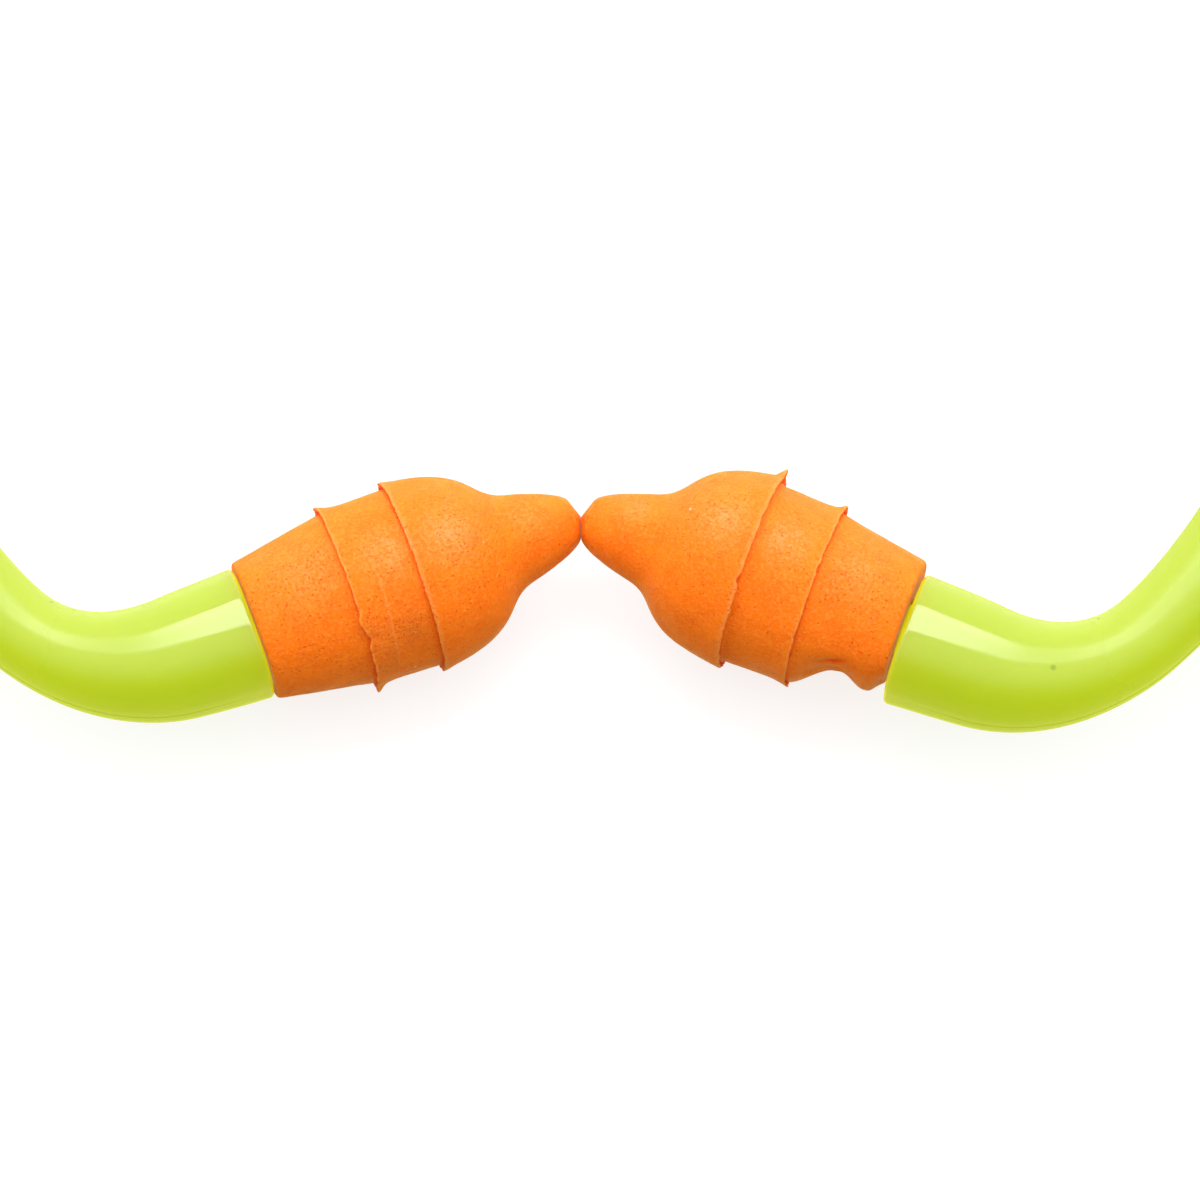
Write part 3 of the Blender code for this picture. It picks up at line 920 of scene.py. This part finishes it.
def foam_material():
    material, tree, shader = new_material("orange_foam")
    coordinates = tree.nodes.new("ShaderNodeTexCoord").outputs["Object"]
    worn = attribute_share(tree, "worn")

    cloudy = noise_texture(tree, coordinates, CLOUD_SCALE, 3.0)
    base = ramp(tree, cloudy, ((0.30, FOAM_DARKER), (0.70, FOAM_LIGHTER)))
    grain = noise_texture(tree, coordinates, GRAIN_SCALE, 4.0, 0.68)
    grain_share = map_range(tree, grain, 0.46, 0.66, 0.0, 0.60)
    grain_share = math_node(tree, "ADD", grain_share, scaled(tree, worn, 0.22))
    coloured = mix_colour(tree, grain_share, base, FOAM_GRAIN_COLOUR)

    # Painted sheen: pale, speckled patches where the light's reflection falls on the skin.
    speckled = map_range(tree, grain, 0.40, 0.60, 0.15, 1.0)
    painted_sheen = math_node(tree, "MULTIPLY", speckled, attribute_share(tree, "painted_sheen"))
    coloured = mix_colour(tree, painted_sheen, coloured, FOAM_PAINTED_SHEEN)

    # Open pores, thicker in some patches and where the foam is worn, and a few pale specks.
    distance, share = cells(tree, coordinates, PORE_SCALE)
    patches = noise_texture(tree, coordinates, PATCH_SCALE, 2.0)
    patch_share = map_range(tree, patches, 0.44, 0.62, 0.10, 0.75)
    patch_share = math_node(tree, "ADD", patch_share, scaled(tree, worn, 0.75))
    open_cell = math_node(tree, "LESS_THAN", share, patch_share)
    pits = math_node(tree, "MULTIPLY", map_range(tree, distance, 0.10, 0.30, 1.0, 0.0), open_cell)
    coloured = mix_colour(tree, scaled(tree, pits, 0.65), coloured, FOAM_PORE)
    speck_distance, speck_share = cells(tree, coordinates, SPECK_SCALE)
    speck = math_node(tree, "LESS_THAN", speck_share, 0.05)
    speck = math_node(tree, "MULTIPLY", map_range(tree, speck_distance, 0.05, 0.10, 0.75, 0.0), speck)
    coloured = mix_colour(tree, speck, coloured, FOAM_SPECK)

    # Paler at the lips' rims and the mould line, and darker with painted shade in the folds behind the lips
    # and in the crease.
    rim = attribute_share(tree, "rim")
    coloured = mix_colour(tree, scaled(tree, rim, 0.34), coloured, FOAM_RIM)
    painted_shade = attribute_share(tree, "painted_shade")
    coloured = mix_colour(tree, scaled(tree, painted_shade, 0.8), coloured, FOAM_PAINTED_SHADE)
    tree.links.new(coloured, shader.inputs["Base Color"])

    tree.links.new(map_range(tree, patches, 0.38, 0.58, 0.50, 0.30), shader.inputs["Roughness"])
    shader.inputs["Specular IOR Level"].default_value = 0.105
    shader.inputs["Subsurface Weight"].default_value = 0.55
    shader.inputs["Subsurface Radius"].default_value = (1.0, 0.25, 0.05)
    shader.inputs["Subsurface Scale"].default_value = FOAM_LIGHT_DEPTH

    # Relief: the grain, stronger where the foam is worn, and the pits.
    roughened = math_node(tree, "ADD", 1.0, scaled(tree, worn, 2.2))
    height = math_node(tree, "MULTIPLY", grain, roughened)
    height = math_node(tree, "SUBTRACT", height, scaled(tree, pits, 0.8))
    add_bump(tree, shader, height, 1.0, FOAM_BUMP)
    return material


def flaw_share(tree, coordinates):
    """Shares of the small moulding flaws, as soft spots on the arms' upper side."""
    split = tree.nodes.new("ShaderNodeSeparateXYZ")
    tree.links.new(coordinates, split.inputs["Vector"])
    mid_z = arm_end(1).z * MM
    upper_side = math_node(tree, "GREATER_THAN", split.outputs["Z"], mid_z)
    spots = 0.0
    for side_name, distance, offset, radius in ARM_FLAWS:
        side = SIDES[side_name]
        x, y, heading = centreline(distance, arm_end(1), pod_tilt())
        y -= ARM_DROP[side_name]
        place = (side * (x - offset * math.sin(heading)) * MM, (y + offset * math.cos(heading)) * MM, mid_z)
        flatten = node(tree, "ShaderNodeCombineXYZ", Z=mid_z)
        tree.links.new(split.outputs["X"], flatten.inputs["X"])
        tree.links.new(split.outputs["Y"], flatten.inputs["Y"])
        away = tree.nodes.new("ShaderNodeVectorMath")
        away.operation = "DISTANCE"
        tree.links.new(flatten.outputs["Vector"], away.inputs[0])
        away.inputs[1].default_value = place
        spot = map_range(tree, away.outputs["Value"], radius * MM * 0.4, radius * MM, 1.0, 0.0)
        spots = math_node(tree, "ADD", spot, spots)
    return math_node(tree, "MULTIPLY", spots, upper_side)


def plastic_material():
    """Lime plastic with a painted glow: it sends out a little lime light of its own, so its shaded side
    stays bright.
    """
    material, tree, shader = new_material("lime_plastic")
    coordinates = node(tree, "ShaderNodeAttribute", attribute_name="rest").outputs["Vector"]
    along = attribute_share(tree, "along")
    cloudy = noise_texture(tree, coordinates, PLASTIC_CLOUD_SCALE, 2.0)
    base = ramp(tree, cloudy, ((0.3, PLASTIC_DARKER), (0.7, PLASTIC_LIGHTER)))

    # The end's edge takes painted orange light bounced from the foam, the flaws are darker, and the parting
    # line is darker with painted shade.
    rim = map_range(tree, along, 0.08, 0.35, 0.45, 0.0)
    base = mix_colour(tree, rim, base, PLASTIC_PAINTED_BOUNCE)
    flaws = flaw_share(tree, coordinates)
    # Painted shade along the parting line, where the ridge's lower side falls into shade.
    seam = scaled(tree, attribute_share(tree, "seam"), 0.50)
    flaws_and_painted_seam_shade = math_node(tree, "ADD", flaws, seam, clamp=True)
    base = mix_colour(tree, scaled(tree, flaws_and_painted_seam_shade, 0.60), base, PLASTIC_FLAW_AND_SEAM_SHADE)
    # The painted glow, dimmer at the flaws and along the parting line.
    painted_glow = mix_colour(tree, scaled(tree, flaws_and_painted_seam_shade, 0.42), PAINTED_GLOW, PAINTED_GLOW_DARKER)
    tree.links.new(painted_glow, shader.inputs["Emission Color"])
    tree.links.new(base, shader.inputs["Base Color"])

    # The end is polished by the mould, and the surface dulls to satin along the arm.
    swirl = noise_texture(tree, coordinates, SWIRL_SCALE, 3.0)
    dull = map_range(tree, along, 3.0, 18.0, 0.09, 0.34)
    dull = math_node(tree, "ADD", dull, map_range(tree, swirl, 0.3, 0.7, -0.02, 0.03))
    tree.links.new(dull, shader.inputs["Roughness"])
    shader.inputs["Subsurface Weight"].default_value = 1.0
    shader.inputs["Subsurface Radius"].default_value = (1.0, 1.0, 0.3)
    shader.inputs["Subsurface Scale"].default_value = PLASTIC_LIGHT_DEPTH
    shader.inputs["IOR"].default_value = 1.45
    shader.inputs["Emission Strength"].default_value = PAINTED_GLOW_STRENGTH

    ripple = noise_texture(tree, coordinates, RIPPLE_SCALE, 2.0)
    height = math_node(tree, "SUBTRACT", ripple, flaws)
    add_bump(tree, shader, height, 0.10, PLASTIC_BUMP)
    return material


def floor_material():
    """A floor that glows, like a light table, so that shadows stay faint."""
    material, _, shader = new_material("pale_floor")
    shader.inputs["Base Color"].default_value = (*FLOOR_COLOUR, 1.0)
    shader.inputs["Roughness"].default_value = 0.9
    shader.inputs["Specular IOR Level"].default_value = 0.1
    shader.inputs["Emission Color"].default_value = (*WHITE, 1.0)
    shader.inputs["Emission Strength"].default_value = FLOOR_GLOW
    return material


# ---------------------------------------------------------------- studio

# The camera looks down steeply from the pods' side, at a point a little nearer to it than the pods' tips.
CAMERA_ELEVATION = 70.0
CAMERA_DISTANCE = 0.430
FRAME_WIDTH = 0.0812
LOOK_AT_OFFSET = (0.00129, -0.00601)
SENSOR = 36.0
CLIP = (0.01, 20.0)

# Light: a softbox high up on the crown's side, and a white cove that is bright behind the crown and dim in
# front, with warm light where it is dim, as if bounced off the foam and the band. More comes up from below,
# as from a white table, and is full at this depth. The cove's edges are angles from its middle, in degrees.
KEY_OFFSET = (0.0, 0.215, 0.53)
KEY_SIZE = (0.40, 0.13)
KEY_POWER = 1.34
DIM_COLOUR = (1.0, 0.89, 0.42)
AMBIENT_LIGHT = 0.255
TABLE_LIGHT = 0.50
TABLE_FULL = -0.5
WINDOW_LIGHT = 2.13
WINDOW_ELEVATION = 50.0
WINDOW_EDGE = 114.0
WINDOW_FULL = 18.0


def tips_meet():
    """The point where the two pods' axes meet."""
    tail = Vector(JOINTS["right_pod_twist"]["pos_m"])
    along = Vector(JOINTS["right_pod_twist"]["axis"])
    return tail + along * (tail.x / -along.x)


def make_camera():
    data = bpy.data.cameras.new("camera")
    data.sensor_width = SENSOR
    data.lens = SENSOR * CAMERA_DISTANCE / FRAME_WIDTH
    data.clip_start, data.clip_end = CLIP
    camera = bpy.data.objects.new("camera", data)
    bpy.context.scene.collection.objects.link(camera)
    elevation = math.radians(CAMERA_ELEVATION)
    back = Vector((0.0, -math.cos(elevation), math.sin(elevation)))
    target = tips_meet() + Vector((*LOOK_AT_OFFSET, 0.0))
    camera.location = target + back * CAMERA_DISTANCE
    camera.rotation_euler = (-back).to_track_quat("-Z", "Y").to_euler()
    bpy.context.scene.camera = camera


def area_light(name, place, target, size, size_y, power):
    data = bpy.data.lights.new(name, "AREA")
    data.shape = "RECTANGLE"
    data.size = size
    data.size_y = size_y
    data.energy = power
    light = bpy.data.objects.new(name, data)
    bpy.context.scene.collection.objects.link(light)
    light.location = place
    light.rotation_euler = (Vector(target) - Vector(place)).to_track_quat("-Z", "Y").to_euler()
    return light


def make_world():
    """A cove that grows brighter and whiter towards its middle, behind the crown and high up."""
    world = bpy.data.worlds.new("studio")
    bpy.context.scene.world = world
    world.use_nodes = True
    tree = world.node_tree
    background = tree.nodes["Background"]
    facing = tree.nodes.new("ShaderNodeVectorMath")
    facing.operation = "DOT_PRODUCT"
    direction = tree.nodes.new("ShaderNodeTexCoord").outputs["Generated"]
    tree.links.new(direction, facing.inputs[0])
    elevation = math.radians(WINDOW_ELEVATION)
    facing.inputs[1].default_value = (0.0, math.cos(elevation), math.sin(elevation))
    edge, full = (math.cos(math.radians(angle)) for angle in (WINDOW_EDGE, WINDOW_FULL))
    strength = map_range(tree, facing.outputs["Value"], edge, full, AMBIENT_LIGHT, WINDOW_LIGHT)
    strength.node.interpolation_type = "SMOOTHSTEP"
    split = tree.nodes.new("ShaderNodeSeparateXYZ")
    tree.links.new(direction, split.inputs["Vector"])
    table = map_range(tree, split.outputs["Z"], 0.0, TABLE_FULL, 0.0, TABLE_LIGHT)
    tree.links.new(math_node(tree, "ADD", strength, table), background.inputs["Strength"])
    share = map_range(tree, strength, AMBIENT_LIGHT, WINDOW_LIGHT, 0.0, 1.0)
    tint = ramp(tree, share, ((0.0, DIM_COLOUR), (0.5, WHITE)))
    tree.links.new(tint, background.inputs["Color"])


def make_studio():
    target = tips_meet()
    area_light("key", target + Vector(KEY_OFFSET), target, *KEY_SIZE, KEY_POWER)
    make_world()
    bpy.ops.mesh.primitive_plane_add(size=FLOOR_SIZE, location=(0.0, 0.0, 0.0))
    floor = bpy.context.object
    floor.name = "floor"
    floor.data.materials.append(floor_material())
    floor.visible_diffuse = False
    floor.visible_glossy = False
    floor.visible_shadow = False
    bpy.context.scene.view_settings.view_transform = "Standard"


make_camera()
make_studio()
plastic = plastic_material()
foam = foam_material()
for index, (side_name, side_sign) in enumerate(SIDES.items()):
    make_band_half(side_name, side_sign, plastic)
    make_pod(side_name, side_sign, foam, seed=index + 1)
